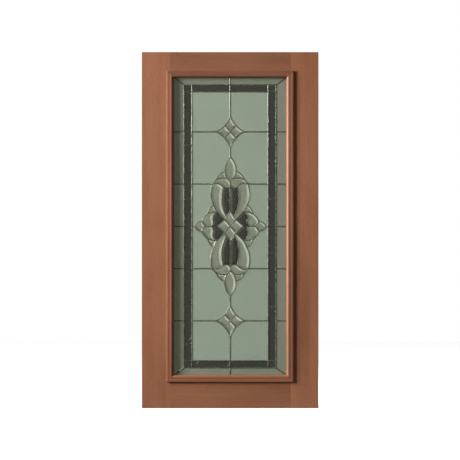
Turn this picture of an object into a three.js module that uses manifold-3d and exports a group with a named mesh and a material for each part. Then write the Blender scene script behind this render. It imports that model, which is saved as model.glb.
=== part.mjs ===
// A wide timber entrance door leaf with one tall leadlight, built as the real one is: a stile
// and rail frame with a rebate, a leaded panel of flat and bevelled glass bedded in the rebate,
// and a mitred bolection moulding that holds the panel in from the front.
// Millimetres, +Z up, the front faces -Y. The origin is the middle of the hinge stile's edge.
import * as THREE from "three";
import { mergeVertices } from "three/addons/utils/BufferGeometryUtils.js";
import Module from "manifold-3d";

const wasm = await Module();
wasm.setup();

// Door leaf. The joint gap parts the ends of the rails, mouldings and lips from what they meet.
const leafWidth = 1012;
const leafHeight = 2040;
const leafThickness = 40;
const stileWidth = 160;
const topRailHeight = 124;
const bottomRailHeight = 168;
const jointGap = 0.3;

// Lip left standing at the back of the frame, which the panel is bedded against
const lipReach = 23.5;
const lipThickness = 20;
const lipChamfer = 5;
const beddingGap = 0.5;
const panelEdgeGap = 3;

// Bolection moulding: an ovolo that starts behind the leaf's face at the sight line, its flat
// crest, a quirk and a flat bead that laps the frame
const mouldingLap = 17.5;
const ovoloWidth = 17;
const ovoloFootDepth = 5.3;
const ovoloHeight = 8;
const ovoloBow = 0.196;
const crestWidth = 4;
const quirkWidth = 3;
const quirkDepth = 0.6;
const beadEdgeHeight = 8;
const beadBow = 0.03;
const mouldingTolerance = 0.15;

// Lead came: an H section, with a front and a back flange on a thin heart. The panel's edge came
// has its heart where any other has, and flanges that reach further out.
const flangeWidth = 6.5;
const flangeThickness = 1.1;
const heartThickness = 1.5;
const edgeFlangeWidth = 10;
const glassThickness = 4;
const cementGap = 0.4;
const glassEdgeGap = 0.5;
const leadTolerance = 1.9;

// Layout of the leadlight, from the sight line inwards
const sideBorderWidth = 59;
const endBorderWidth = 39.5;
const sideBandWidth = 45;
const endBandWidth = 40;
const bandPanes = 5;
const starDrop = 229.5;
const starHalfWidth = 80;
const starHalfHeight = 89.5;
const starWaist = 0.4;
const starBow = -0.045;
const motifToStar = 56;
const motifToBand = 15.5;

// Junctions of the central motif's upper right quarter, as shares of its half width and half
// height. The other three quarters mirror them.
const junctionShares = {
  centre: [0, 0],
  latticeSide: [0.158, 0.0986],
  latticeTop: [0, 0.221],
  latticeEnd: [0.374, 0],
  petalFoot: [0.109, 0.1366],
  petalTop: [0, 0.602],
  leafHeel: [0.197, 0.566],
  leafTip: [0.5025, 0.6125],
  leafShoulder: [0.389, 0.678],
  spearFoot: [0, 0.641],
  spearHip: [0.0857, 0.6915],
  spearSide: [0.1567, 0.7927],
  spearTip: [0, 1],
  wingTop: [0.47, 0.3085],
  wingRoot: [0.37, 0.206],
  wingWaist: [0.478, 0.0683],
  wingFoot: [0.532, 0],
  roundShoulder: [0.633, 0.182],
  roundEnd: [0.685, 0],
  tipRoot: [0.796, 0.0733],
  tipPoint: [1, 0],
};

// Rise of each curved lead line as a share of its chord, positive to the left of its direction
const bows = {
  "spearTip>spearSide": 0.125,
  "spearSide>spearHip": 0.057,
  "spearHip>spearFoot": 0.035,
  "spearSide>leafShoulder": 0.14,
  "leafShoulder>leafTip": 0.045,
  "spearHip>leafShoulder": 0.08,
  "leafHeel>leafTip": 0.17,
  "leafHeel>petalTop": 0.27,
  "leafHeel>petalFoot": 0.1,
  "leafTip>wingTop": 0.105,
  "wingTop>wingRoot": 0.033,
  "wingTop>roundShoulder": 0.117,
  "wingRoot>wingWaist": 0.22,
  "wingWaist>wingFoot": -0.1,
  "wingRoot>roundShoulder": 0.075,
  "roundShoulder>tipRoot": 0.092,
  "tipRoot>roundEnd": 0.11,
  "tipRoot>tipPoint": 0.16,
};

// Places that follow from the sizes above. The panel's own are from the middle of the panel.
const openingHalfWidth = leafWidth / 2 - stileWidth;
const openingHalfHeight = (leafHeight - topRailHeight - bottomRailHeight) / 2;
const openingCentreZ = (bottomRailHeight - topRailHeight) / 2;
const sightHalfWidth = openingHalfWidth - lipReach;
const sightHalfHeight = openingHalfHeight - lipReach;
const mouldingWidth = lipReach + mouldingLap;
const frontFace = -leafThickness / 2;
const backFace = leafThickness / 2;
const lipFace = backFace - lipThickness;
const cameDepth = glassThickness + 2 * (cementGap + flangeThickness);
const panelBack = lipFace - beddingGap;
const panelFront = panelBack - cameDepth;
const panelHalfWidth = openingHalfWidth - panelEdgeGap;
const panelHalfHeight = openingHalfHeight - panelEdgeGap;
const edgeHeartX = panelHalfWidth - edgeFlangeWidth + flangeWidth / 2;
const edgeHeartZ = panelHalfHeight - edgeFlangeWidth + flangeWidth / 2;
const bandOuterX = sightHalfWidth - sideBorderWidth;
const bandOuterZ = sightHalfHeight - endBorderWidth;
const fieldHalfWidth = bandOuterX - sideBandWidth;
const fieldHalfHeight = bandOuterZ - endBandWidth;
const starRise = fieldHalfHeight - starDrop;
const motifHalfWidth = fieldHalfWidth - motifToBand;
const motifHalfHeight = starRise - starHalfHeight - motifToStar;

const sides = { left: -1, right: 1 };
const ends = { top: 1, bottom: -1 };

const finishes = {
  timber: new THREE.MeshStandardMaterial({ color: 0x9a684d, roughness: 0.6 }),
  lead: new THREE.MeshStandardMaterial({ color: 0x74756a, roughness: 0.45, metalness: 0.8 }),
  fieldGlass: new THREE.MeshStandardMaterial({ color: 0x93a18e, roughness: 0.2 }),
  borderGlass: new THREE.MeshStandardMaterial({ color: 0x7f8672, roughness: 0.15 }),
  bevelGlass: new THREE.MeshStandardMaterial({ color: 0x8c9680, roughness: 0.05 }),
  darkGlass: new THREE.MeshStandardMaterial({ color: 0x3c4038, roughness: 0.1 }),
};

// Outlines in the plane of the door: lists of points, x to the right and y up

function point(x, y) {
  return new THREE.Vector2(x, y);
}

// Points of a shallow curve from start up to but not including end
function bowedLine(start, end, bow, tolerance) {
  const chord = end.clone().sub(start);
  const rise = point(-chord.y, chord.x).multiplyScalar(bow);
  const steps = Math.max(1, Math.ceil(Math.sqrt(rise.length() / tolerance)));
  return Array.from({ length: steps }, (_, i) => {
    const share = i / steps;
    const height = 4 * share * (1 - share);
    return start.clone().addScaledVector(chord, share).addScaledVector(rise, height);
  });
}

function flipped(outline, side, end) {
  return outline.map((p) => point(p.x * side, p.y * end));
}

// Closes an open outline, whose ends lie on the upright middle line, by its own mirror image
function mirroredLeft(half) {
  return [...half, ...flipped(half, -1, 1).slice(1, -1).reverse()];
}

// Closes an open outline, whose ends lie on the level middle line, by its own mirror image
function mirroredDown(half) {
  return [...half, ...flipped(half, 1, -1).slice(1, -1).reverse()];
}

function raised(outline, rise) {
  return outline.map((p) => point(p.x, p.y + rise));
}

function transposed(outline) {
  return outline.map((p) => point(p.y, p.x));
}

// Where the line of one side of an outline meets the line of the next
function meeting(side, next) {
  const turn = side.direction.cross(next.direction);
  if (Math.abs(turn) < 1e-6) return next.start.clone();
  const reach = next.start.clone().sub(side.start).cross(next.direction) / turn;
  return side.start.clone().addScaledVector(side.direction, reach);
}

// Moves every side of an outline inwards. A short side beside a sharp corner may have no length
// left: it goes, and its neighbours meet instead.
function inset(outline, distance) {
  const ring = THREE.ShapeUtils.area(outline) < 0 ? outline.toReversed() : outline;
  const moved = ring.map((start, i) => {
    const direction = ring[(i + 1) % ring.length].clone().sub(start).normalize();
    const inward = point(-direction.y, direction.x);
    return { start: start.clone().addScaledVector(inward, distance), direction };
  });
  for (;;) {
    const corners = moved.map((side, i) => meeting(moved.at(i - 1), side));
    const lengths = moved.map((side, i) =>
      corners[(i + 1) % corners.length].clone().sub(corners[i]).dot(side.direction));
    const shortest = Math.min(...lengths);
    if (shortest > 0 || moved.length === 3) return corners;
    moved.splice(lengths.indexOf(shortest), 1);
  }
}

// The central motif

function junction(name) {
  const [across, up] = junctionShares[name];
  return point(across * motifHalfWidth, up * motifHalfHeight);
}

function bowBetween(from, to) {
  return bows[`${from}>${to}`] ?? -(bows[`${to}>${from}`] ?? 0);
}

// The lead lines through named junctions, up to but not including the last
function leadLines(...names) {
  return names.slice(1).flatMap((to, i) => {
    const from = names[i];
    return bowedLine(junction(from), junction(to), bowBetween(from, to), leadTolerance);
  });
}

// The lead lines through named junctions, the last included
function openLines(...names) {
  return [...leadLines(...names), junction(names.at(-1))];
}

function closedLines(...names) {
  return leadLines(...names, names[0]);
}

const spear = mirroredLeft(openLines("spearTip", "spearSide", "spearHip", "spearFoot"));
const crown = closedLines("spearSide", "leafShoulder", "spearHip");
const leaf = closedLines(
  "spearFoot", "spearHip", "leafShoulder", "leafTip", "leafHeel", "petalTop");
const leafPair = mirroredLeft(openLines(
  "spearFoot", "spearHip", "leafShoulder", "leafTip", "leafHeel", "petalTop"));
const darkPetal = closedLines("petalTop", "leafHeel", "petalFoot", "latticeTop");
const darkPetalPair = mirroredLeft(openLines(
  "petalTop", "leafHeel", "petalFoot", "latticeTop"));
const clearPetal = closedLines(
  "leafHeel", "leafTip", "wingTop", "wingRoot", "latticeSide", "petalFoot");
const darkWing = closedLines("wingRoot", "wingWaist", "wingFoot", "latticeEnd", "latticeSide");
const round = closedLines(
  "wingRoot", "roundShoulder", "tipRoot", "roundEnd", "wingFoot", "wingWaist");
const shoulder = closedLines("wingTop", "roundShoulder", "wingRoot");
const tip = mirroredDown(openLines("roundEnd", "tipRoot", "tipPoint"));
const latticeTopLight = mirroredLeft(openLines("latticeTop", "latticeSide", "centre"));
const latticeEndLight = mirroredDown(openLines("centre", "latticeSide", "latticeEnd"));
const latticeQuarter = openLines("latticeTop", "latticeSide", "latticeEnd");
const lattice = mirroredLeft(
  [...latticeQuarter, ...flipped(latticeQuarter, 1, -1).reverse().slice(1)]);

// The stars, each about its own middle

const starTop = point(0, starHalfHeight);
const starSide = point(starHalfWidth, 0);
const starHollow = point(starWaist * starHalfWidth, starWaist * starHalfHeight);
const starUpper = bowedLine(starTop, starHollow, starBow, leadTolerance);
const starLower = bowedLine(starHollow, starSide, starBow, leadTolerance);
const starQuarter = [...starUpper, ...starLower, starSide];
const star = mirroredLeft([...starQuarter, ...flipped(starQuarter, 1, -1).reverse().slice(1)]);
const starTopLight = mirroredLeft([...starUpper, starHollow, point(0, 0)]);
const starSideLight = mirroredDown([point(0, 0), ...starLower, starSide]);
const starLights = [
  starTopLight,
  flipped(starTopLight, 1, -1),
  starSideLight,
  flipped(starSideLight, -1, 1),
];

// The field around them: its upper right quarter is three panes, from the end inwards

const rowRise = junction("leafTip").y;
const placedQuarter = raised(starQuarter, starRise);
const fieldOuter = [
  ...placedQuarter,
  point(fieldHalfWidth, starRise),
  point(fieldHalfWidth, fieldHalfHeight),
  point(0, fieldHalfHeight),
];
const fieldMiddle = [
  ...raised(flipped(starQuarter, 1, -1), starRise),
  point(fieldHalfWidth, starRise),
  point(fieldHalfWidth, rowRise),
  ...openLines("leafTip", "leafShoulder", "spearSide", "spearTip"),
];
const fieldInner = [
  point(fieldHalfWidth, 0),
  point(fieldHalfWidth, rowRise),
  ...openLines("leafTip", "wingTop", "roundShoulder", "tipRoot", "tipPoint"),
];

// The dark band and the clear border. Each run is upright and on the right, before it is turned.

function rectangle(x0, y0, x1, y1) {
  return [point(x0, y0), point(x1, y0), point(x1, y1), point(x0, y1)];
}

// Lights one above the other between two upright lines, whose outer and inner ends may differ
function lightsOfRun(inner, outer, innerEnd, outerEnd, cuts) {
  const innerCuts = [-innerEnd, ...cuts, innerEnd];
  const outerCuts = [-outerEnd, ...cuts, outerEnd];
  return innerCuts.slice(1).map((_, i) => [
    point(inner, innerCuts[i]),
    point(outer, outerCuts[i]),
    point(outer, outerCuts[i + 1]),
    point(inner, innerCuts[i + 1]),
  ]);
}

function runOf(...layout) {
  return { outline: lightsOfRun(...layout, [])[0], lights: cuts => lightsOfRun(...layout, cuts) };
}

const bandCuts = Array.from({ length: bandPanes + 1 }, (_, i) =>
  fieldHalfHeight * (2 * i / bandPanes - 1));
const rowCuts = [-starRise, -rowRise, 0, rowRise, starRise];
const sideBand = runOf(fieldHalfWidth, bandOuterX, bandOuterZ, bandOuterZ);
const endBand = runOf(fieldHalfHeight, bandOuterZ, fieldHalfWidth, fieldHalfWidth);
const sideBorder = runOf(bandOuterX, edgeHeartX, bandOuterZ, edgeHeartZ);
const endBorder = runOf(bandOuterZ, edgeHeartZ, bandOuterX, edgeHeartX);

// Every piece of glass: its name, outline and the lights that the lead shows it as

function onBothSides(name, finish, outline, lights = [outline]) {
  return Object.entries(sides).map(([side, flip]) => ({
    name: `${name}_${side}`,
    finish,
    outline: flipped(outline, flip, 1),
    lights: lights.map((light) => flipped(light, flip, 1)),
  }));
}

function atBothEnds(name, finish, outline, lights = [outline]) {
  return Object.entries(ends).map(([end, flip]) => ({
    name: `${name}_${end}`,
    finish,
    outline: flipped(outline, 1, flip),
    lights: lights.map((light) => flipped(light, 1, flip)),
  }));
}

function inEachQuarter(name, finish, outline) {
  return Object.entries(ends).flatMap(([end, flip]) =>
    onBothSides(`${name}_${end}`, finish, flipped(outline, 1, flip)));
}

const glass = [
  ...inEachQuarter("field_pane_outer", "fieldGlass", fieldOuter),
  ...inEachQuarter("field_pane_middle", "fieldGlass", fieldMiddle),
  ...inEachQuarter("field_pane_inner", "fieldGlass", fieldInner),
  ...onBothSides("clear_border", "borderGlass", sideBorder.outline, sideBorder.lights(rowCuts)),
  ...atBothEnds("clear_border", "borderGlass", transposed(endBorder.outline),
    endBorder.lights([0]).map(transposed)),
  ...onBothSides("dark_band", "darkGlass", sideBand.outline, sideBand.lights(bandCuts)),
  ...atBothEnds("dark_band", "darkGlass", transposed(endBand.outline),
    endBand.lights([0]).map(transposed)),
  ...atBothEnds("star_bevels", "bevelGlass", raised(star, starRise),
    starLights.map((light) => raised(light, starRise))),
  ...atBothEnds("spear_bevel", "bevelGlass", spear),
  ...inEachQuarter("crown_bevel", "bevelGlass", crown),
  ...atBothEnds("leaf_bevels", "bevelGlass", leafPair, [leaf, flipped(leaf, -1, 1)]),
  ...atBothEnds("dark_petals", "darkGlass", darkPetalPair, [darkPetal, flipped(darkPetal, -1, 1)]),
  ...inEachQuarter("clear_petal", "bevelGlass", clearPetal),
  ...inEachQuarter("dark_wing", "darkGlass", darkWing),
  ...inEachQuarter("round_bevel", "bevelGlass", round),
  ...inEachQuarter("shoulder_bevel", "bevelGlass", shoulder),
  ...onBothSides("tip_bevel", "bevelGlass", tip),
  {
    name: "lattice_bevels",
    finish: "bevelGlass",
    outline: lattice,
    lights: [
      latticeTopLight,
      flipped(latticeTopLight, 1, -1),
      latticeEndLight,
      flipped(latticeEndLight, -1, 1),
    ],
  },
];

// Solids

// A flat piece of the given outline, whose back is at the given place and which reaches forward
function slab(outline, back, depth) {
  const shape = new THREE.Shape(outline);
  const geometry = new THREE.ExtrudeGeometry(shape, { depth, bevelEnabled: false });
  return geometry.rotateX(Math.PI / 2).translate(0, back, 0);
}

function solidOf(geometry) {
  const bare = geometry.clone();
  bare.deleteAttribute("normal");
  bare.deleteAttribute("uv");
  const merged = mergeVertices(bare);
  return new wasm.Manifold(new wasm.Mesh({
    numProp: 3,
    vertProperties: merged.attributes.position.array,
    triVerts: Uint32Array.from(merged.index.array),
  }));
}

function unionOf(geometries) {
  return wasm.Manifold.union(geometries.map(solidOf));
}

function geometryOf(solid) {
  const mesh = solid.getMesh();
  const geometry = new THREE.BufferGeometry();
  geometry.setAttribute("position", new THREE.BufferAttribute(mesh.vertProperties, 3));
  geometry.setIndex(new THREE.BufferAttribute(mesh.triVerts, 1));
  geometry.computeVertexNormals();
  return geometry;
}

// The lead net: a sheet as deep as the came, grooved round its edge, cut through at every light
// and with a wider channel inside it for every piece of glass
function leadCame() {
  const channelBack = panelBack - flangeThickness;
  const channelDepth = cameDepth - 2 * flangeThickness;
  const sheet = rectangle(-panelHalfWidth, -panelHalfHeight, panelHalfWidth, panelHalfHeight);
  const core = inset(sheet, edgeFlangeWidth - (flangeWidth + heartThickness) / 2);
  const flanges = [
    slab(sheet, panelBack, flangeThickness),
    slab(sheet, panelFront + flangeThickness, flangeThickness),
  ];
  const lights = glass
    .flatMap((piece) => piece.lights)
    .map((light) => slab(inset(light, flangeWidth / 2), panelBack + 1, cameDepth + 2));
  const channels = glass
    .map((piece) => slab(inset(piece.outline, heartThickness / 2), channelBack, channelDepth));
  const body = unionOf([...flanges, slab(core, panelBack, cameDepth)]);
  return geometryOf(body.subtract(unionOf([...lights, ...channels])));
}

function pane(piece) {
  const outline = inset(piece.outline, heartThickness / 2 + glassEdgeGap);
  return slab(outline, panelBack - flangeThickness - cementGap, glassThickness);
}

// A strip whose section is drawn outwards from the sight line, with both ends mitred
function mitredStrip(section, halfLength) {
  const shape = new THREE.Shape(section);
  const geometry = new THREE.ExtrudeGeometry(shape, { depth: 1, bevelEnabled: false });
  const place = geometry.attributes.position;
  for (let i = 0; i < place.count; i++) {
    const end = place.getZ(i) > 0.5 ? 1 : -1;
    place.setZ(i, end * (halfLength + place.getX(i) - jointGap));
  }
  return geometry;
}

const mouldingSection = [
  point(0, panelFront - jointGap),
  ...bowedLine(
    point(0, frontFace + ovoloFootDepth),
    point(ovoloWidth, frontFace - ovoloHeight),
    -ovoloBow,
    mouldingTolerance,
  ),
  point(ovoloWidth, frontFace - ovoloHeight),
  point(ovoloWidth + crestWidth, frontFace - ovoloHeight),
  point(ovoloWidth + crestWidth, frontFace - ovoloHeight + quirkDepth),
  ...bowedLine(
    point(ovoloWidth + crestWidth + quirkWidth, frontFace - ovoloHeight + quirkDepth),
    point(mouldingWidth, frontFace - beadEdgeHeight),
    -beadBow,
    mouldingTolerance,
  ),
  point(mouldingWidth, frontFace - beadEdgeHeight),
  point(mouldingWidth, frontFace - jointGap),
  point(lipReach - jointGap, frontFace - jointGap),
  point(lipReach - jointGap, panelFront - jointGap),
];

const lipSection = [
  point(0, lipFace),
  point(lipReach, lipFace),
  point(lipReach, backFace),
  point(lipChamfer, backFace),
  point(0, backFace - lipChamfer),
];

// Assembly. Strips are made for the right side and turned about the middle of the opening.

const door = new THREE.Group();
const opening = new THREE.Group();
opening.position.set(leafWidth / 2, 0, openingCentreZ);
door.add(opening);

const turns = {
  right: { angle: 0, reach: sightHalfWidth, halfLength: sightHalfHeight },
  top: { angle: -Math.PI / 2, reach: sightHalfHeight, halfLength: sightHalfWidth },
  left: { angle: Math.PI, reach: sightHalfWidth, halfLength: sightHalfHeight },
  bottom: { angle: Math.PI / 2, reach: sightHalfHeight, halfLength: sightHalfWidth },
};

function stripAt(edge, section) {
  const { angle, reach, halfLength } = turns[edge];
  return mitredStrip(section, halfLength).translate(reach, 0, 0).rotateY(angle);
}

function board(x0, z0, x1, z1) {
  return slab(rectangle(x0, z0, x1, z1), backFace, leafThickness);
}

function addPiece(name, geometry, finish) {
  const mesh = new THREE.Mesh(geometry, finishes[finish]);
  mesh.name = name;
  opening.add(mesh);
}

const footZ = -leafHeight / 2 - openingCentreZ;
const headZ = leafHeight / 2 - openingCentreZ;
const railHalfLength = openingHalfWidth - jointGap;
const boards = {
  stile_left: board(-leafWidth / 2, footZ, -openingHalfWidth, headZ),
  stile_right: board(openingHalfWidth, footZ, leafWidth / 2, headZ),
  rail_top: board(-railHalfLength, openingHalfHeight, railHalfLength, headZ),
  rail_bottom: board(-railHalfLength, footZ, railHalfLength, -openingHalfHeight),
};

for (const [name, body] of Object.entries(boards)) {
  const edge = name.split("_")[1];
  addPiece(name, geometryOf(unionOf([body, stripAt(edge, lipSection)])), "timber");
  addPiece(`moulding_${edge}`, stripAt(edge, mouldingSection), "timber");
}

addPiece("lead_came", leadCame(), "lead");
for (const piece of glass) addPiece(piece.name, pane(piece), piece.finish);

export default door;
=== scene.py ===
"""Looks of a timber entrance door leaf with one tall leadlight.

Metres, +Z up, the front faces -Y. Outlines in the plane of the door are lists of 2-D points,
x to the right and y up, measured from the middle of the leaded panel.
"""
import math
import random

import bmesh
import bpy
from mathutils import Matrix, Vector


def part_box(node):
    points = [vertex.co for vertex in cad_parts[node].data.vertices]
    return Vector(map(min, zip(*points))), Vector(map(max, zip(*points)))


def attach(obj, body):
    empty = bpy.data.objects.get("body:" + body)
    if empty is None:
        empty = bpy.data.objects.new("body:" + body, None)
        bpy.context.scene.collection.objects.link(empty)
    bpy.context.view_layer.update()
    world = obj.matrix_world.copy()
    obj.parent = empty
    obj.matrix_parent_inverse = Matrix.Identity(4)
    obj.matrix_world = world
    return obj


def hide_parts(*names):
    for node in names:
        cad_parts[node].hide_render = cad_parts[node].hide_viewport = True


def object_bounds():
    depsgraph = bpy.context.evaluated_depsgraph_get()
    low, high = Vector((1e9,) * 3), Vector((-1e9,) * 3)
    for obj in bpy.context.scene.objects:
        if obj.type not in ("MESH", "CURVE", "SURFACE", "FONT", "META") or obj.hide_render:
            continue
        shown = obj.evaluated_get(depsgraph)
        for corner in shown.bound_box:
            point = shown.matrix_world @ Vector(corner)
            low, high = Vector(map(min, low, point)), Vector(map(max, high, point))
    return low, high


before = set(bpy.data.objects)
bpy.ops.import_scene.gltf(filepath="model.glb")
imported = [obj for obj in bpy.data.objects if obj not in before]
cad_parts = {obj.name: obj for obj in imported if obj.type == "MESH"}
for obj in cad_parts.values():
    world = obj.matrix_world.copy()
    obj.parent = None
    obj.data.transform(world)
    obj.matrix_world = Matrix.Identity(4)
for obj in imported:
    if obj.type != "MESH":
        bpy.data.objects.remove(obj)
cad_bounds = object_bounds()

MM = 0.001

# Photograph: its width at the plane of the door, its size, and where the door's middle lies in it
PHOTO_WIDTH = 2.6345
PHOTO_PIXELS = 460
DOOR_MIDDLE_PIXEL = (230.15, 230.17)
PIXEL = PHOTO_WIDTH / PHOTO_PIXELS

# Section of the lead, with its gaps and its solder
GLASS_INSET = 1.25 * MM      # from the middle of a came to the edge of the glass in it
CAME_WIDTH = 6.5 * MM
MOTIF_CAME_WIDTH = 5.5 * MM
HEART_WIDTH = 1.5 * MM
EDGE_CAME_REACH = 6.75 * MM  # from the heart of the panel's edge came to the panel's edge
DOME_STEPS = 8
SOLDER_RADIUS = 4 * MM
SOLDER_SPREAD = (0.85, 1.2)
SOLDER_PROUD = 0.1 * MM
SOLDER_SIDES = 12
SOLDER_LEVELS = 4
MITRE_LIMIT = 0.3            # cosine of half a turn, below which a mitre reaches out no further

# Stars, central motif and band
STAR_HALF_WIDTH = 80 * MM
STAR_HALF_HEIGHT = 89.5 * MM
STAR_WAIST = 0.4
STAR_BOW = -0.045
MOTIF_TO_STAR = 56 * MM
MOTIF_TO_BAND = 15.5 * MM
BAND_PANES = 5

# Junctions of the motif's upper right quarter, as shares of its half width and half height
JUNCTIONS = {
    "centre": (0, 0),
    "lattice_side": (0.158, 0.0986),
    "lattice_top": (0, 0.221),
    "lattice_end": (0.374, 0),
    "petal_foot": (0.109, 0.1366),
    "petal_top": (0, 0.602),
    "leaf_heel": (0.197, 0.566),
    "leaf_tip": (0.5025, 0.6125),
    "leaf_shoulder": (0.389, 0.678),
    "spear_foot": (0, 0.641),
    "spear_hip": (0.0857, 0.6915),
    "spear_side": (0.1567, 0.7927),
    "spear_tip": (0, 1),
    "wing_top": (0.47, 0.3085),
    "wing_root": (0.37, 0.206),
    "wing_waist": (0.478, 0.0683),
    "wing_foot": (0.532, 0),
    "round_shoulder": (0.633, 0.182),
    "round_end": (0.685, 0),
    "tip_root": (0.796, 0.0733),
    "tip_point": (1, 0),
}

# Lead lines of that quarter, each with its rise as a share of its chord, positive to the left
QUARTER_LINES = {
    ("spear_tip", "spear_side"): 0.125,
    ("spear_side", "spear_hip"): 0.057,
    ("spear_hip", "spear_foot"): 0.035,
    ("spear_side", "leaf_shoulder"): 0.14,
    ("leaf_shoulder", "leaf_tip"): 0.045,
    ("spear_hip", "leaf_shoulder"): 0.08,
    ("leaf_heel", "leaf_tip"): 0.17,
    ("leaf_heel", "petal_top"): 0.27,
    ("leaf_heel", "petal_foot"): 0.1,
    ("leaf_tip", "wing_top"): 0.105,
    ("wing_top", "wing_root"): 0.033,
    ("wing_top", "round_shoulder"): 0.117,
    ("wing_root", "wing_waist"): 0.22,
    ("wing_waist", "wing_foot"): -0.1,
    ("wing_root", "round_shoulder"): 0.075,
    ("round_shoulder", "tip_root"): 0.092,
    ("tip_root", "round_end"): 0.11,
    ("tip_root", "tip_point"): 0.16,
    ("lattice_top", "petal_foot"): 0,
    ("petal_foot", "lattice_side"): 0,
    ("lattice_side", "lattice_end"): 0,
    ("lattice_side", "centre"): 0,
    ("lattice_side", "wing_root"): 0,
}
UPRIGHT_AXIS_LINES = [("spear_foot", "petal_top"), ("petal_top", "lattice_top")]
LEVEL_AXIS_LINES = [("lattice_end", "wing_foot"), ("wing_foot", "round_end")]

# Bevels ground on the front of the glass: slope of clear and of dark ones, width of each kind
CLEAR_BEVEL_SLOPE = 0.3
DARK_BEVEL_SLOPE = 0.38
BEVEL_STEPS = 24
BEVEL_WIDTHS = {
    "star_bevels": 12 * MM,
    "spear_bevel": 13 * MM,
    "crown_bevel": 7 * MM,
    "leaf_bevels": 10 * MM,
    "dark_petals": 11 * MM,
    "clear_petal": 14 * MM,
    "dark_wing": 9 * MM,
    "round_bevel": 12 * MM,
    "shoulder_bevel": 7 * MM,
    "tip_bevel": 10 * MM,
    "lattice_bevels": 11 * MM,
}

# Moulding section, outwards from the sight line
OVOLO_WIDTH = 17 * MM
OVOLO_FOOT_DEPTH = 5.3 * MM
OVOLO_HEIGHT = 8 * MM
OVOLO_BOW = 0.196
CREST_WIDTH = 4 * MM
QUIRK_WIDTH = 3 * MM
QUIRK_DEPTH = 0.35 * MM
BEAD_EDGE_HEIGHT = 8 * MM
BEAD_BOW = 0.03
FACE_GAP = 0.3 * MM
REBATE_REACH = 23.2 * MM

# Whitish streaks painted on the glass of each slot: their two ends in pixels, and how white they
# are
WHITE_STREAKS = {
    "field_glass": [
        ((198.0, 326.8), (194.4, 331.4), 0.35),
        ((204.1, 352.9), (200.1, 356.1), 0.8),
    ],
    "dark_glass": [
        ((192.3, 336.8), (188.7, 340.4), 0.5),
        ((187.3, 342.9), (185.9, 345.7), 0.25),
        ((199.4, 360.7), (195.9, 363.9), 0.5),
        ((230.9, 362.1), (226.6, 367.1), 0.4),
    ],
    "border_glass": [
        ((193.7, 369.3), (190.9, 371.4), 0.6),
        ((225.9, 369.3), (223.7, 372.1), 0.5),
    ],
}
STREAK_HALF_WIDTH = 3 * MM
STREAK_COLOUR = (0.9, 0.95, 0.82)

# Softened edges: radii, how many flats a board's arris has, and the least turns of an edge, in
# degrees, that count as a corner of a board and of the moulding's section
JOINT_ARRIS = 0.8 * MM
MOULDING_ARRIS = 0.6 * MM
ARRIS_SEGMENTS = 2
BOARD_CORNER = 35
SECTION_CORNER = 30

# Turns in degrees above which an edge is shaded sharp
GLASS_SHARP = 9
TIMBER_SHARP = 25
LEAD_SHARP = 40

# Points and edges nearer or shorter than this are merged
BOARD_WELD = 0.01 * MM
PIECE_WELD = 0.001 * MM
SHORTEST_EDGE = 0.0001 * MM
JOINT_DIGITS = 5             # of a joint's place in metres, in which the ends of its leads agree

CURVE_TOLERANCE = 0.06 * MM
PARALLEL = 1e-6              # sine of the turn below which two sides count as one line
SEED = 7
seeded = random.Random(SEED)

# Sides of a box, and axes of the frame
LOW = 0
HIGH = 1
ACROSS = 0
UP = 2

# Places that follow from the frame
panel_low, panel_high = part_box("lead_came")
panel_middle = (panel_low + panel_high) / 2
panel_front = panel_low.y
panel_back = panel_high.y
leaf_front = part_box("stile_left")[LOW].y
glass_front, glass_back = (corner.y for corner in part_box("field_pane_outer_top_right"))


def reach_of(node, side, axis):
    """How far the low or high side of a node lies from the middle of the panel."""
    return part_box(node)[side][axis] - panel_middle[axis]


field_half_width = reach_of("dark_band_right", LOW, ACROSS) - GLASS_INSET
field_half_height = reach_of("dark_band_top", LOW, UP) - GLASS_INSET
band_half_width = reach_of("dark_band_right", HIGH, ACROSS) + GLASS_INSET
band_half_height = reach_of("dark_band_right", HIGH, UP) + GLASS_INSET
edge_half_width = reach_of("clear_border_right", HIGH, ACROSS) + GLASS_INSET
edge_half_height = reach_of("clear_border_top", HIGH, UP) + GLASS_INSET
sight_half_width = reach_of("moulding_right", LOW, ACROSS)
sight_half_height = reach_of("moulding_top", LOW, UP)
moulding_width = reach_of("moulding_right", HIGH, ACROSS) - sight_half_width
star_rise = (reach_of("star_bevels_top", LOW, UP) + reach_of("star_bevels_top", HIGH, UP)) / 2
motif_half_width = field_half_width - MOTIF_TO_BAND
motif_half_height = star_rise - STAR_HALF_HEIGHT - MOTIF_TO_STAR


# Outlines

def point(x, y):
    return Vector((x, y))


def bowed_line(start, end, bow):
    """Points of a shallow curve from start up to but not including end."""
    chord = end - start
    rise = Vector((-chord.y, chord.x)) * bow
    steps = max(1, math.ceil(math.sqrt(rise.length / CURVE_TOLERANCE)))
    shares = [i / steps for i in range(steps)]
    return [start + chord * t + rise * (4 * t * (1 - t)) for t in shares]


def flipped(outline, side, end):
    return [point(p.x * side, p.y * end) for p in outline]


def mirrored_left(half):
    """Closes an open outline, whose ends lie on the upright middle line, by its mirror image."""
    return half + flipped(half, -1, 1)[1:-1][::-1]


def mirrored_down(half):
    """Closes an open outline, whose ends lie on the level middle line, by its mirror image."""
    return half + flipped(half, 1, -1)[1:-1][::-1]


def raised(outline, rise):
    return [point(p.x, p.y + rise) for p in outline]


def transposed(outline):
    return [point(p.y, p.x) for p in outline]


def signed_area(outline):
    return sum(p.cross(q) for p, q in zip(outline, outline[1:] + outline[:1])) / 2


def meeting(side, following):
    """Where the line of one side of an outline meets the line of the next."""
    (start, direction, _), (next_start, next_direction, _) = side, following
    turn = direction.cross(next_direction)
    if abs(turn) < PARALLEL:
        return next_start.copy()
    return start + direction * ((next_start - start).cross(next_direction) / turn)


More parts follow.
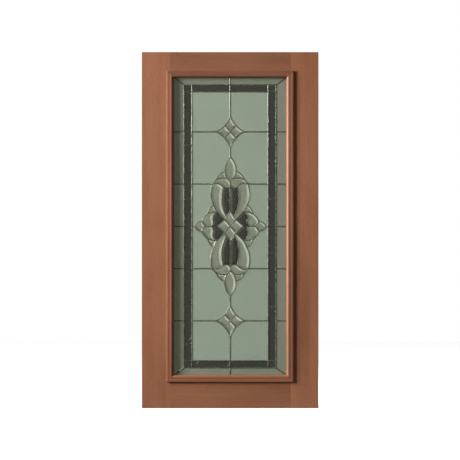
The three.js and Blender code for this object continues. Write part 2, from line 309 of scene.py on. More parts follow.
def sides_of(ring):
    """Each side's start, direction and place in the ring."""
    ends = ring[1:] + ring[:1]
    return [(p, (q - p).normalized(), i) for i, (p, q) in enumerate(zip(ring, ends))]


def inset(ring, distance, steps=1):
    """The inner point for each point of a counter-clockwise ring whose sides all move inwards.

    A side whose length runs out drops, and the points at its ends share one inner point.
    Returns the inner points and the distance, which is less where the ring closes up first.
    """
    kept = sides_of(ring)
    reached = None
    for step in range(1, steps + 1):
        moved_by = distance * step / steps
        while True:
            moved = [
                (start + Vector((-way.y, way.x)) * moved_by, way, i) for start, way, i in kept]
            corners = [meeting(moved[i - 1], side) for i, side in enumerate(moved)]
            following = corners[1:] + corners[:1]
            lengths = [
                (q - p).dot(side[1]) for p, q, side in zip(corners, following, moved)]
            if min(lengths) > 0:
                break
            if len(kept) <= 3:
                return reached
            kept.pop(lengths.index(min(lengths)))
        if signed_area(corners) <= 0:
            return reached
        places = [side[2] for side in kept]
        after = [next((k for k, at in enumerate(places) if at >= i), 0) for i in range(len(ring))]
        reached = [corners[k] for k in after], moved_by
    return reached


def counter_clockwise(outline):
    return outline if signed_area(outline) > 0 else outline[::-1]


# The central motif and the stars

def junction(name):
    across, up = JUNCTIONS[name]
    return point(across * motif_half_width, up * motif_half_height)


def bow_between(start, end):
    if (start, end) in QUARTER_LINES:
        return QUARTER_LINES[start, end]
    return -QUARTER_LINES.get((end, start), 0)


def lead_lines(*names):
    """The lead lines through named junctions, up to but not including the last."""
    return [
        p
        for start, end in zip(names, names[1:])
        for p in bowed_line(junction(start), junction(end), bow_between(start, end))
    ]


def open_lines(*names):
    return lead_lines(*names) + [junction(names[-1])]


def closed_lines(*names):
    return lead_lines(*names, names[0])


star_top = point(0, STAR_HALF_HEIGHT)
star_side = point(STAR_HALF_WIDTH, 0)
star_hollow = point(STAR_WAIST * STAR_HALF_WIDTH, STAR_WAIST * STAR_HALF_HEIGHT)
star_upper = bowed_line(star_top, star_hollow, STAR_BOW)
star_lower = bowed_line(star_hollow, star_side, STAR_BOW)
star_quarter = star_upper + star_lower + [star_side]
star_top_light = mirrored_left(star_upper + [star_hollow, point(0, 0)])
star_side_light = mirrored_down([point(0, 0)] + star_lower + [star_side])

row_rise = junction("leaf_tip").y
field_outer = raised(star_quarter, star_rise) + [
    point(field_half_width, star_rise),
    point(field_half_width, field_half_height),
    point(0, field_half_height),
]
field_middle = raised(flipped(star_quarter, 1, -1), star_rise) + [
    point(field_half_width, star_rise),
    point(field_half_width, row_rise),
] + open_lines("leaf_tip", "leaf_shoulder", "spear_side", "spear_tip")
field_inner = [
    point(field_half_width, 0),
    point(field_half_width, row_rise),
] + open_lines("leaf_tip", "wing_top", "round_shoulder", "tip_root", "tip_point")

band_cuts = [field_half_height * (2 * i / BAND_PANES - 1) for i in range(BAND_PANES + 1)]
row_cuts = [-star_rise, -row_rise, 0, row_rise, star_rise]


def lights_of_run(inner, outer, inner_end, outer_end, cuts):
    """Lights one above the other between two upright lines, whose ends may differ."""
    inner_cuts = [-inner_end, *cuts, inner_end]
    outer_cuts = [-outer_end, *cuts, outer_end]
    return [
        [point(inner, a), point(outer, b), point(outer, c), point(inner, d)]
        for a, b, c, d in zip(inner_cuts, outer_cuts, outer_cuts[1:], inner_cuts[1:])
    ]


SIDES = {"left": -1, "right": 1}
ENDS = {"top": 1, "bottom": -1}


def on_both_sides(name, lights):
    return {
        f"{name}_{side}": [flipped(light, flip, 1) for light in lights]
        for side, flip in SIDES.items()
    }


def at_both_ends(name, lights):
    return {
        f"{name}_{end}": [flipped(light, 1, flip) for light in lights]
        for end, flip in ENDS.items()
    }


def in_each_quarter(name, lights):
    quarters = {}
    for end, flip in ENDS.items():
        turned = [flipped(light, 1, flip) for light in lights]
        quarters.update(on_both_sides(f"{name}_{end}", turned))
    return quarters


star_lights = [
    star_top_light,
    flipped(star_top_light, 1, -1),
    star_side_light,
    flipped(star_side_light, -1, 1),
]
leaf = closed_lines(
    "spear_foot", "spear_hip", "leaf_shoulder", "leaf_tip", "leaf_heel", "petal_top")
dark_petal = closed_lines("petal_top", "leaf_heel", "petal_foot", "lattice_top")
lattice_top_light = mirrored_left(open_lines("lattice_top", "lattice_side", "centre"))
lattice_end_light = mirrored_down(open_lines("centre", "lattice_side", "lattice_end"))

# The lights of every CAD node of glass
lights_of_node = {
    **in_each_quarter("field_pane_outer", [field_outer]),
    **in_each_quarter("field_pane_middle", [field_middle]),
    **in_each_quarter("field_pane_inner", [field_inner]),
    **on_both_sides("clear_border", lights_of_run(
        band_half_width, edge_half_width, band_half_height, edge_half_height, row_cuts)),
    **at_both_ends("clear_border", [transposed(light) for light in lights_of_run(
        band_half_height, edge_half_height, band_half_width, edge_half_width, [0])]),
    **on_both_sides("dark_band", lights_of_run(
        field_half_width, band_half_width, band_half_height, band_half_height, band_cuts)),
    **at_both_ends("dark_band", [transposed(light) for light in lights_of_run(
        field_half_height, band_half_height, field_half_width, field_half_width, [0])]),
    **at_both_ends("star_bevels", [raised(light, star_rise) for light in star_lights]),
    **at_both_ends("spear_bevel", [mirrored_left(open_lines(
        "spear_tip", "spear_side", "spear_hip", "spear_foot"))]),
    **in_each_quarter("crown_bevel", [closed_lines(
        "spear_side", "leaf_shoulder", "spear_hip")]),
    **at_both_ends("leaf_bevels", [leaf, flipped(leaf, -1, 1)]),
    **at_both_ends("dark_petals", [dark_petal, flipped(dark_petal, -1, 1)]),
    **in_each_quarter("clear_petal", [closed_lines(
        "leaf_heel", "leaf_tip", "wing_top", "wing_root", "lattice_side", "petal_foot")]),
    **in_each_quarter("dark_wing", [closed_lines(
        "wing_root", "wing_waist", "wing_foot", "lattice_end", "lattice_side")]),
    **in_each_quarter("round_bevel", [closed_lines(
        "wing_root", "round_shoulder", "tip_root", "round_end", "wing_foot", "wing_waist")]),
    **in_each_quarter("shoulder_bevel", [closed_lines(
        "wing_top", "round_shoulder", "wing_root")]),
    **on_both_sides("tip_bevel", [mirrored_down(open_lines(
        "round_end", "tip_root", "tip_point"))]),
    "lattice_bevels": [
        lattice_top_light,
        flipped(lattice_top_light, 1, -1),
        lattice_end_light,
        flipped(lattice_end_light, -1, 1),
    ],
}


# Materials

def new_material(name):
    """A material with its tree and its shader."""
    material = bpy.data.materials.new(name)
    material.use_nodes = True
    tree = material.node_tree
    return material, tree, tree.nodes["Principled BSDF"]


def add_node(tree, kind, inputs=None, **settings):
    node = tree.nodes.new(kind)
    for name, value in settings.items():
        setattr(node, name, value)
    for name, value in (inputs or {}).items():
        if isinstance(value, bpy.types.NodeSocket):
            tree.links.new(value, node.inputs[name])
        else:
            node.inputs[name].default_value = value
    return node


def object_coordinates(tree, scale=(1, 1, 1), offset=(0, 0, 0)):
    place = add_node(tree, "ShaderNodeTexCoord").outputs["Object"]
    mapping = add_node(tree, "ShaderNodeMapping", {
        "Vector": place, "Scale": scale, "Location": offset})
    return mapping.outputs["Vector"]


def noise(tree, vector, scale, detail, roughness, distortion=0.0):
    node = add_node(tree, "ShaderNodeTexNoise", {
        "Vector": vector,
        "Scale": scale,
        "Detail": detail,
        "Roughness": roughness,
        "Distortion": distortion,
    })
    return node.outputs["Fac"]


def spread(tree, value, low, high, to_low=0.0, to_high=1.0):
    """Maps low..high of a value onto another range, clamped."""
    node = add_node(tree, "ShaderNodeMapRange", {
        "Value": value,
        "From Min": low,
        "From Max": high,
        "To Min": to_low,
        "To Max": to_high,
    })
    return node.outputs["Result"]


# Sockets of a mix node that is set to mix colours
MIX_SHARE = 0
MIX_FIRST = 6
MIX_SECOND = 7
MIX_RESULT = 2


def blended(tree, share, first, second, blend_type="MIX"):
    """A mix of two colours, where each is a socket or a colour."""
    inputs = {MIX_SHARE: share, MIX_FIRST: first, MIX_SECOND: second}
    node = add_node(tree, "ShaderNodeMix", inputs, data_type="RGBA", blend_type=blend_type)
    return node.outputs[MIX_RESULT]


def bumped(tree, shader, height, strength, distance):
    node = add_node(tree, "ShaderNodeBump", {
        "Height": height, "Strength": strength, "Distance": distance})
    tree.links.new(node.outputs["Normal"], shader.inputs["Normal"])


def opaque(colour):
    return (*colour, 1.0)


WOOD_DARK = (0.275, 0.101, 0.046)
WOOD_MIDDLE = (0.385, 0.152, 0.075)
WOOD_LIGHT = (0.485, 0.21, 0.113)
PORE_COLOUR = (0.13, 0.045, 0.022)
LEAD_DARK = (0.15, 0.155, 0.105)
LEAD_LIGHT = (0.29, 0.30, 0.235)
GRAIN_SHIFT = (3.7, 1.9, 5.3)


def timber(name, grain_axis, seed, painted_brightness):
    """A reddish hardwood under a thin satin finish, with its grain along one axis, made lighter or
    darker as a whole by a factor of painted light and shade.
    """
    material, tree, shader = new_material(name)
    offset = tuple(seed * shift for shift in GRAIN_SHIFT)

    def stretched(share):
        scale = [1.0, 1.0, 1.0]
        scale[grain_axis] = share
        return object_coordinates(tree, scale, offset)

    bands = noise(
        tree, stretched(0.05), scale=11.0, detail=4.0, roughness=0.55, distortion=0.6)
    fibres = noise(tree, stretched(0.012), scale=190.0, detail=3.0, roughness=0.6)
    patches = noise(tree, stretched(0.3), scale=5.0, detail=2.0, roughness=0.5)
    pores = noise(tree, stretched(0.035), scale=620.0, detail=2.0, roughness=0.55)
    band_share = spread(tree, bands, 0.34, 0.66)
    patch_share = spread(tree, patches, 0.38, 0.72, to_high=0.62)
    fibre_share = spread(tree, fibres, 0.3, 0.7, to_high=0.35)
    pore_share = spread(tree, pores, 0.6, 0.72, to_high=0.55)
    colour = blended(tree, band_share, opaque(WOOD_DARK), opaque(WOOD_MIDDLE))
    colour = blended(tree, patch_share, colour, opaque(WOOD_LIGHT))
    colour = blended(tree, fibre_share, colour, opaque(WOOD_DARK))
    colour = blended(tree, pore_share, colour, opaque(PORE_COLOUR))
    # Painted light and shade: the whole colour is scaled up or down to stand in for how much light
    # falls on this edge of the door
    if painted_brightness != 1.0:
        colour = blended(tree, 1.0, colour, opaque((painted_brightness, painted_brightness, painted_brightness)), "MULTIPLY")
    tree.links.new(colour, shader.inputs["Base Color"])
    roughness = spread(tree, fibres, 0.3, 0.7, to_low=0.42, to_high=0.54)
    tree.links.new(roughness, shader.inputs["Roughness"])
    shader.inputs["Specular IOR Level"].default_value = 0.45
    relief = add_node(tree, "ShaderNodeMath", {0: fibres, 1: pore_share}, operation="SUBTRACT")
    bumped(tree, shader, relief.outputs["Value"], strength=0.25, distance=0.25 * MM)
    return material


def lead():
    """Oxidised lead came: dull grey with an olive bloom, brighter where it is rubbed."""
    material, tree, shader = new_material("oxidised_lead")
    place = object_coordinates(tree)
    bloom = noise(tree, place, scale=60.0, detail=4.0, roughness=0.6)
    grit = noise(tree, place, scale=900.0, detail=2.0, roughness=0.5)
    bloom_share = spread(tree, bloom, 0.35, 0.65)
    colour = blended(tree, bloom_share, opaque(LEAD_DARK), opaque(LEAD_LIGHT))
    tree.links.new(colour, shader.inputs["Base Color"])
    shader.inputs["Metallic"].default_value = 0.7
    roughness = spread(tree, bloom, 0.3, 0.7, to_low=0.27, to_high=0.4)
    tree.links.new(roughness, shader.inputs["Roughness"])
    bumped(tree, shader, grit, strength=0.2, distance=0.1 * MM)
    return material


def on_door(pixel):
    """Where a pixel of the photograph lies on the glass."""
    across = (pixel[0] - DOOR_MIDDLE_PIXEL[0]) * PIXEL
    up = (DOOR_MIDDLE_PIXEL[1] - pixel[1]) * PIXEL
    return Vector((panel_middle.x + across, glass_front, up))


def streak_whitening(tree, start_pixel, end_pixel, strength):
    """How much a whitish streak whitens the glass: most in its middle, nothing outside it."""
    start = on_door(start_pixel)
    end = on_door(end_pixel)
    along = end - start
    place = add_node(tree, "ShaderNodeTexCoord").outputs["Object"]
    mapping = add_node(tree, "ShaderNodeMapping", {
        "Vector": place,
        "Location": (start + end) / 2,
        "Rotation": (0, math.atan2(-along.z, along.x), 0),
        "Scale": (along.length / 2, 1.0, STREAK_HALF_WIDTH),
    }, vector_type="TEXTURE")
    inside = add_node(tree, "ShaderNodeTexGradient", {
        "Vector": mapping.outputs["Vector"]}, gradient_type="SPHERICAL")
    return spread(tree, inside.outputs["Fac"], 0.0, 0.5, to_high=strength)


GLASS_IOR = 1.5
FILM_ROUGHNESS = 0.06


def glass(slot, name, colour, transmission, roughness, texture_scale, texture_depth):
    """Sheet or bevelled glass: see-through, with a share of scatter from its own surface."""
    material, tree, shader = new_material(name)
    shader.inputs["Base Color"].default_value = opaque(colour)
    shader.inputs["Transmission Weight"].default_value = transmission
    shader.inputs["IOR"].default_value = GLASS_IOR
    shade = opaque(colour)
    # Whitish streaks painted into the glass colour at given places
    for start_pixel, end_pixel, strength in WHITE_STREAKS.get(slot, ()):
        share = streak_whitening(tree, start_pixel, end_pixel, strength)
        shade = blended(tree, share, shade, opaque(STREAK_COLOUR))
    if slot in WHITE_STREAKS:
        tree.links.new(shade, shader.inputs["Base Color"])
    place = object_coordinates(tree)
    film = noise(tree, place, scale=30.0, detail=3.0, roughness=0.6)
    filmed = spread(
        tree, film, 0.3, 0.7, to_low=roughness, to_high=roughness + FILM_ROUGHNESS)
    tree.links.new(filmed, shader.inputs["Roughness"])
    texture = noise(tree, place, scale=texture_scale, detail=2.0, roughness=0.5)
    bumped(tree, shader, texture, strength=0.4, distance=texture_depth)
    return material


lead_material = lead()
GLASSES = {
    "field_glass": {
        "name": "textured_sheet",
        "colour": (0.64, 0.745, 0.6),
        "transmission": 0.66,
        "roughness": 0.12,
        "texture_scale": 140.0,
        "texture_depth": 0.5 * MM,
    },
    "border_glass": {
        "name": "border_sheet",
        "colour": (0.45, 0.49, 0.37),
        "transmission": 0.55,
        "roughness": 0.05,
        "texture_scale": 40.0,
        "texture_depth": 0.1 * MM,
    },
    "bevel_glass": {
        "name": "bevelled_plate",
        "colour": (0.62, 0.7, 0.53),
        "transmission": 0.85,
        "roughness": 0.02,
        "texture_scale": 18.0,
        "texture_depth": 7 * MM,
    },
    "dark_glass": {
        "name": "dark_sheet",
        "colour": (0.1, 0.108, 0.085),
        "transmission": 0.5,
        "roughness": 0.24,
        "texture_scale": 40.0,
        "texture_depth": 0.1 * MM,
    },
}
glass_materials = {slot: glass(slot, **looks) for slot, looks in GLASSES.items()}


# Meshes

def placed(outline_point, depth):
    """A 2-D point of the panel's plane at a depth, in the row frame."""
    return Vector((
        panel_middle.x + outline_point.x, depth, panel_middle.z + outline_point.y))


def new_piece(name, vertices, faces, material, replaced, sharp_angle):
    """One closed piece with its normals out, which stands for a CAD node."""
    mesh = bpy.data.meshes.new(name)
    mesh.from_pydata(vertices, [], faces)
    shell = bmesh.new()
    shell.from_mesh(mesh)
    bmesh.ops.remove_doubles(shell, verts=shell.verts, dist=PIECE_WELD)
    bmesh.ops.dissolve_degenerate(shell, edges=shell.edges, dist=SHORTEST_EDGE)
    bmesh.ops.recalc_face_normals(shell, faces=shell.faces)
    shell.to_mesh(mesh)
    shell.free()
    mesh.shade_smooth()
    mesh.set_sharp_from_angle(angle=math.radians(sharp_angle))
    piece = bpy.data.objects.new(name, mesh)
    bpy.context.scene.collection.objects.link(piece)
    mesh.materials.append(material)
    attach(piece, "root")
    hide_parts(replaced)


def ring_faces(first, second, count):
    """Quads between two rings of points, given where each starts."""
    return [
        (first + i, first + (i + 1) % count, second + (i + 1) % count, second + i)
        for i in range(count)
    ]


def light_piece(name, outline, kind, slot, replaced):
    """One piece of glass: a flat sheet, or a plate with its front edges ground to a bevel."""
    ring, _ = inset(counter_clockwise(outline), GLASS_INSET)
    count = len(ring)
    vertices = [placed(p, glass_back) for p in ring] + [placed(p, glass_front) for p in ring]
    faces = [tuple(range(count)), *ring_faces(0, count, count)]
    front_ring = count
    if kind in BEVEL_WIDTHS:
        inner, width = inset(ring, BEVEL_WIDTHS[kind], BEVEL_STEPS)
        slope = DARK_BEVEL_SLOPE if slot == "dark_glass" else CLEAR_BEVEL_SLOPE
        plateau = glass_front - slope * width
        vertices += [placed(p, plateau) for p in inner]
        faces += ring_faces(count, 2 * count, count)
        front_ring = 2 * count
    faces.append(tuple(range(front_ring, front_ring + count)))
    new_piece(name, vertices, faces, glass_materials[slot], replaced, GLASS_SHARP)


def kind_of(node):
    """A glass node's name without the words that say where it lies."""
    places = {*SIDES, *ENDS}
    words = node.split("_")
    while words[-1] in places:
        words.pop()
    return "_".join(words)


def slot_of(kind):
    if kind.startswith("field_pane"):
        return "field_glass"
    if kind == "clear_border":
        return "border_glass"
    return "dark_glass" if kind.startswith("dark") else "bevel_glass"


for node, lights in lights_of_node.items():
    kind = kind_of(node)
    for number, light in enumerate(lights, 1):
        name = f"{node}_light" if len(lights) == 1 else f"{node}_light_{number}"
        light_piece(name, light, kind, slot_of(kind), node)


# Lead

def came_section(outer_reach, half=CAME_WIDTH / 2):
    """The came's H section, as offsets to the left of its line and depths."""
    turns = [math.pi * i / DOME_STEPS for i in range(DOME_STEPS + 1)]
    middle = (half - outer_reach) / 2
    reach = (half + outer_reach) / 2

    def dome(flat, crown):
        return [(middle + reach * math.cos(t), flat + (crown - flat) * math.sin(t)) for t in turns]

    front = dome(glass_front, panel_front)
    back = dome(glass_back, panel_back)[::-1]
    heart = HEART_WIDTH / 2
    return [
        *front,
        (-heart, glass_front),
        (-heart, glass_back),
        *back,
        (heart, glass_back),
        (heart, glass_front),
    ]


class Shell:
    """Vertices and faces of a mesh that is put together from several closed bodies."""

    def __init__(self):
        self.vertices = []
        self.faces = []

    def sweep(self, line, section, closed=False):
        """Carries a section along a line in the plane of the panel."""
        count = len(section)
        start = len(self.vertices)
        for i, p in enumerate(line):
            before = line[i - 1] if closed or i else p - (line[1] - p)
            after = line[(i + 1) % len(line)] if closed or i + 1 < len(line) else p + (p - line[-2])
            into = (p - before).normalized()
            out = (after - p).normalized()
            along = (into + out).normalized()
            left = Vector((-along.y, along.x)) / max(MITRE_LIMIT, along.dot(out))
            self.vertices += [placed(p + left * u, depth) for u, depth in section]
        spans = len(line) if closed else len(line) - 1
        for span in range(spans):
            ring = start + span * count
            following = start + (span + 1) % len(line) * count
            self.faces += ring_faces(ring, following, count)
        if not closed:
            self.faces.append(tuple(range(start, start + count)))
            last = start + (len(line) - 1) * count
            self.faces.append(tuple(range(last, last + count)))

    def solder(self, middle, radius, flat, crown):
        """A low round blob of solder on one face of the panel."""
        around = SOLDER_SIDES
        start = len(self.vertices)
        for level in range(SOLDER_LEVELS):
            turn = math.pi / 2 * level / SOLDER_LEVELS
            depth = flat + (crown - flat) * math.sin(turn)
            for i in range(around):
                angle = math.tau * i / around
                way = Vector((math.cos(angle), math.sin(angle)))
                self.vertices.append(placed(middle + way * radius * math.cos(turn), depth))
        self.vertices.append(placed(middle, crown))
        top = len(self.vertices) - 1
        for level in range(SOLDER_LEVELS - 1):
            ring = start + level * around
            self.faces += ring_faces(ring, ring + around, around)
        last = start + (SOLDER_LEVELS - 1) * around
        self.faces += [(last + i, last + (i + 1) % around, top) for i in range(around)]
        self.faces.append(tuple(range(start, start + around)))


def motif_lines():
    for (start, end), bow in QUARTER_LINES.items():
        line = bowed_line(junction(start), junction(end), bow) + [junction(end)]
        for side in SIDES.values():
            for flip in ENDS.values():
                yield flipped(line, side, flip)
    for start, end in UPRIGHT_AXIS_LINES:
        for flip in ENDS.values():
            yield flipped([junction(start), junction(end)], 1, flip)
    for start, end in LEVEL_AXIS_LINES:
        for side in SIDES.values():
            yield flipped([junction(start), junction(end)], side, 1)


def star_lines():
    strands = [star_upper + [star_hollow], star_lower + [star_side], [star_hollow, point(0, 0)]]
    for end in ENDS.values():
        for strand in strands:
            for side in SIDES.values():
                for flip in ENDS.values():
                    yield raised(flipped(strand, side, flip), end * star_rise)


def straight_lines():
    """The leads of the field's rows, the upright axis, the band and the mitres."""
    row_starts = {0: motif_half_width, row_rise: junction("leaf_tip").x, star_rise: STAR_HALF_WIDTH}
    for rise, start in row_starts.items():
        for side in SIDES.values():
            for height in {rise, -rise}:
                yield [point(side * start, height), point(side * field_half_width, height)]
                yield [point(side * band_half_width, height), point(side * edge_half_width, height)]
    for end in ENDS.values():
        star_foot = star_rise - STAR_HALF_HEIGHT
        star_head = star_rise + STAR_HALF_HEIGHT
        yield [point(0, end * motif_half_height), point(0, end * star_foot)]
        yield [point(0, end * star_head), point(0, end * field_half_height)]
        yield [point(0, end * field_half_height), point(0, end * band_half_height)]
        yield [point(0, end * band_half_height), point(0, end * edge_half_height)]
        yield [
            point(-band_half_width, end * field_half_height),
            point(band_half_width, end * field_half_height),
        ]
    for side in SIDES.values():
        yield [
            point(side * field_half_width, -band_half_height),
            point(side * field_half_width, band_half_height),
        ]
        for cut in band_cuts[1:-1]:
            yield [point(side * field_half_width, cut), point(side * band_half_width, cut)]
        for end in ENDS.values():
            yield [
                point(side * band_half_width, end * band_half_height),
                point(side * edge_half_width, end * edge_half_height),
            ]


def rectangle(half_width, half_height):
    return [
        point(-half_width, -half_height),
        point(half_width, -half_height),
        point(half_width, half_height),
        point(-half_width, half_height),
    ]


def came_net():
    shell = Shell()
    section = came_section(CAME_WIDTH / 2)
    fine_section = came_section(MOTIF_CAME_WIDTH / 2, MOTIF_CAME_WIDTH / 2)
    fine_lines = [*motif_lines(), *star_lines()]
    plain_lines = list(straight_lines())
    for line in fine_lines:
        shell.sweep(line, fine_section)
    for line in plain_lines:
        shell.sweep(line, section)
    shell.sweep(rectangle(band_half_width, band_half_height), section, closed=True)
    shell.sweep(
        rectangle(edge_half_width, edge_half_height), came_section(EDGE_CAME_REACH), closed=True)
    joints = {
        (round(p.x, JOINT_DIGITS), round(p.y, JOINT_DIGITS))
        for line in fine_lines + plain_lines
        for p in (line[0], line[-1])
    }
    for x, y in sorted(joints):
        for flat, crown in ((glass_front, panel_front), (glass_back, panel_back)):
            radius = SOLDER_RADIUS * seeded.uniform(*SOLDER_SPREAD)
            proud = math.copysign(SOLDER_PROUD, crown - flat)
            shell.solder(point(x, y), radius, flat, crown + proud)
    new_piece(
        "came_net", shell.vertices, shell.faces, lead_material, "lead_came", LEAD_SHARP)


came_net()


# Timber

def softened(section, radius):
    """Rounds the sharp corners of a closed section."""
    soft = []
    for i, p in enumerate(section):
        before = section[i - 1] - p
        after = section[(i + 1) % len(section)] - p
        if before.angle(-after) < math.radians(SECTION_CORNER):
            soft.append(p)
            continue
        cut = min(radius, before.length / 3, after.length / 3)
        start = p + before.normalized() * cut
        end = p + after.normalized() * cut
        soft += [start, (start + end + p * 2) / 4, end]
    return soft


def moulding_section():
    """The bolection moulding's section: outwards from the sight line, and depth."""
    foot = panel_front - FACE_GAP
    ovolo_crest = leaf_front - OVOLO_HEIGHT
    quirk = ovolo_crest + QUIRK_DEPTH
    back = leaf_front - FACE_GAP
    crest_end = OVOLO_WIDTH + CREST_WIDTH
    return softened([
        point(0, foot),
        *bowed_line(
            point(0, leaf_front + OVOLO_FOOT_DEPTH), point(OVOLO_WIDTH, ovolo_crest), -OVOLO_BOW),
        point(OVOLO_WIDTH, ovolo_crest),
        point(crest_end, ovolo_crest),
        point(crest_end, quirk),
        *bowed_line(
            point(crest_end + QUIRK_WIDTH, quirk),
            point(moulding_width, leaf_front - BEAD_EDGE_HEIGHT),
            -BEAD_BOW),
        point(moulding_width, leaf_front - BEAD_EDGE_HEIGHT),
        point(moulding_width, back),
        point(REBATE_REACH, back),
        point(REBATE_REACH, foot),
    ], MOULDING_ARRIS)


TURNS = {"right": 0, "top": 90, "left": 180, "bottom": 270}


def moulding(edge, material):
    """One mitred length of moulding, made for the right edge and turned in the door's plane."""
    upright = edge in SIDES
    reach = sight_half_width if upright else sight_half_height
    half_length = sight_half_height if upright else sight_half_width
    section = moulding_section()
    turn = Matrix.Rotation(math.radians(TURNS[edge]), 2)
    vertices = []
    for end in (-1, 1):
        for p in section:
            along = end * (half_length + p.x - FACE_GAP)
            vertices.append(placed(turn @ point(reach + p.x, along), p.y))
    count = len(section)
    faces = [
        tuple(range(count)), tuple(range(count, 2 * count)), *ring_faces(0, count, count)]
    name = f"moulding_{edge}"
    new_piece(f"{name}_run", vertices, faces, material, name, TIMBER_SHARP)


def dressed_board(name, material):
    """Keeps a CAD board, with its arrises taken off."""
    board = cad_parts[name]
    board.data.materials.clear()
    board.data.materials.append(material)
    weld = board.modifiers.new("Weld", "WELD")
    weld.merge_threshold = BOARD_WELD
    arris = board.modifiers.new("Arris", "BEVEL")
    arris.width = JOINT_ARRIS
    arris.segments = ARRIS_SEGMENTS
    arris.limit_method = "ANGLE"
    arris.angle_limit = math.radians(BOARD_CORNER)


# Each edge's grain, and the factors of painted light and shade by which its board and its moulding
# are made lighter or darker; the top moulding is painted darker as shade
TIMBERS = {
    "left": (UP, 1.13, 1.08),
    "right": (UP, 1.17, 1.05),
    "top": (ACROSS, 0.95, 0.7),
    "bottom": (ACROSS, 1.0, 1.0),
}
MOULDING_SEEDS = 10
for seed, (edge, (grain_axis, board_painted_brightness, moulding_painted_brightness)) in enumerate(TIMBERS.items(), 1):
    board_name = f"stile_{edge}" if edge in SIDES else f"rail_{edge}"
    board_wood = timber(f"{board_name}_wood", grain_axis, seed, board_painted_brightness)
    moulding_wood = timber(
        f"moulding_{edge}_wood", grain_axis, MOULDING_SEEDS + seed, moulding_painted_brightness)
    dressed_board(board_name, board_wood)
    moulding(edge, moulding_wood)


# Floor, light and camera

FLOOR_REACH = 12.0
CAMERA_DISTANCE = 20.0
CAMERA_CLIP = 100.0


def floor():
    half = FLOOR_REACH
    level = cad_bounds[0].z
    mesh = bpy.data.meshes.new("floor")
    corners = [(-half, -half), (half, -half), (half, half), (-half, half)]
    mesh.from_pydata([(x, y, level) for x, y in corners], [], [(0, 1, 2, 3)])
    plane = bpy.data.objects.new("floor", mesh)
    bpy.context.scene.collection.objects.link(plane)
    material, _, shader = new_material("pale_floor")
    shader.inputs["Base Color"].default_value = (0.8, 0.8, 0.8, 1.0)
    shader.inputs["Roughness"].default_value = 0.9
    shader.inputs["Emission Color"].default_value = (1.0, 1.0, 1.0, 1.0)
    shader.inputs["Emission Strength"].default_value = 0.8
    mesh.materials.append(material)
    plane.visible_diffuse = False
    plane.visible_glossy = False
    plane.visible_transmission = False


# Brightness of the backdrop behind the glass, by how far a ray leans to the left and down. Rays
# that pass through flat glass lean little, and a bevel turns them by about 0.15 to 0.2.
BACKDROP_WAY = (-1.0, 0.0, -0.5)
BACKDROP_LEAN = 0.35
BACKDROP_LEVELS = [
    (-0.30, 0.28),
    (-0.15, 0.06),
    (-0.07, 0.28),
    (0.07, 0.28),
    (0.15, 0.95),
    (0.30, 0.28),
]
AMBIENT = 0.1


def backdrop_level(tree):
    direction = add_node(tree, "ShaderNodeTexCoord").outputs["Generated"]
    lean = add_node(tree, "ShaderNodeVectorMath", {
        0: direction, 1: BACKDROP_WAY}, operation="DOT_PRODUCT")
    share = spread(tree, lean.outputs["Value"], -BACKDROP_LEAN, BACKDROP_LEAN)
    ramp = add_node(tree, "ShaderNodeValToRGB", {"Fac": share})
    stops = ramp.color_ramp.elements
    while len(stops) < len(BACKDROP_LEVELS):
        stops.new(0.5)
    for stop, (at, level) in zip(stops, BACKDROP_LEVELS):
        stop.position = (at + BACKDROP_LEAN) / (2 * BACKDROP_LEAN)
        stop.color = (level, level, level, 1.0)
    return ramp.outputs["Color"]


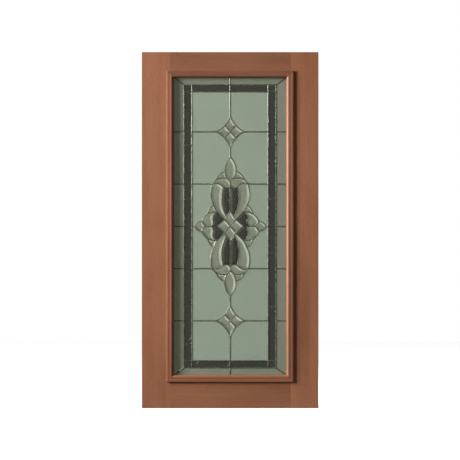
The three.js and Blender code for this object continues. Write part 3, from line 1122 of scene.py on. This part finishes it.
def studio():
    """White for the camera, dim for the door, and graded where it is seen through glass."""
    world = bpy.data.worlds.new("studio")
    bpy.context.scene.world = world
    world.use_nodes = True
    tree = world.node_tree
    tree.nodes.clear()
    ambient = add_node(tree, "ShaderNodeBackground", {
        "Color": (1.0, 0.98, 0.95, 1.0), "Strength": AMBIENT})
    behind = add_node(tree, "ShaderNodeBackground", {"Color": backdrop_level(tree)})
    white = add_node(tree, "ShaderNodeBackground", {"Color": (1, 1, 1, 1), "Strength": 1.0})
    path = add_node(tree, "ShaderNodeLightPath")
    dressed = add_node(tree, "ShaderNodeMixShader", {
        0: path.outputs["Is Transmission Ray"],
        1: ambient.outputs["Background"],
        2: behind.outputs["Background"],
    })
    mixed = add_node(tree, "ShaderNodeMixShader", {
        0: path.outputs["Is Camera Ray"],
        1: dressed.outputs["Shader"],
        2: white.outputs["Background"],
    })
    output = add_node(tree, "ShaderNodeOutputWorld")
    tree.links.new(mixed.outputs["Shader"], output.inputs["Surface"])


def area_light(name, direction, distance, size, power, colour=(1.0, 1.0, 1.0)):
    """A light of a width and a height that shines on the middle of the door from a direction."""
    light = bpy.data.lights.new(name, "AREA")
    light.shape = "RECTANGLE"
    light.size, light.size_y = size
    light.energy = power
    light.color = colour
    lamp = bpy.data.objects.new(name, light)
    bpy.context.scene.collection.objects.link(lamp)
    away = Vector(direction).normalized()
    lamp.location = Vector((panel_middle.x, 0, 0)) + away * distance
    lamp.rotation_euler = away.to_track_quat("Z", "Y").to_euler()
    lamp.visible_camera = False
    lamp.visible_transmission = False
    return lamp


def camera():
    data = bpy.data.cameras.new("camera")
    data.lens = data.sensor_width * CAMERA_DISTANCE / PHOTO_WIDTH
    data.clip_end = CAMERA_CLIP
    eye = bpy.data.objects.new("camera", data)
    bpy.context.scene.collection.objects.link(eye)
    middle = (cad_bounds[0] + cad_bounds[1]) / 2
    aside = (PHOTO_PIXELS / 2 - DOOR_MIDDLE_PIXEL[0]) * PIXEL
    above = (DOOR_MIDDLE_PIXEL[1] - PHOTO_PIXELS / 2) * PIXEL
    eye.location = (middle.x + aside, leaf_front - CAMERA_DISTANCE, middle.z + above)
    eye.rotation_euler = (math.pi / 2, 0, 0)
    bpy.context.scene.camera = eye


floor()
studio()
area_light(
    "key",
    direction=(-3.1, -1.0, 1.1),
    distance=10.0,
    size=(3.1, 4.6),
    power=2150.0,
    colour=(1.0, 0.985, 0.96),
)
area_light(
    "back_fill",
    direction=(0.8, 1.0, 0.5),
    distance=5.0,
    size=(2.5, 2.5),
    power=160.0,
)
sheen = area_light(
    "sheen",
    direction=(-2.6, -1.0, 1.0),
    distance=3.0,
    size=(1.0, 1.6),
    power=90.0,
)
sheen.visible_diffuse = False
camera()
bpy.context.scene.view_settings.view_transform = "Standard"
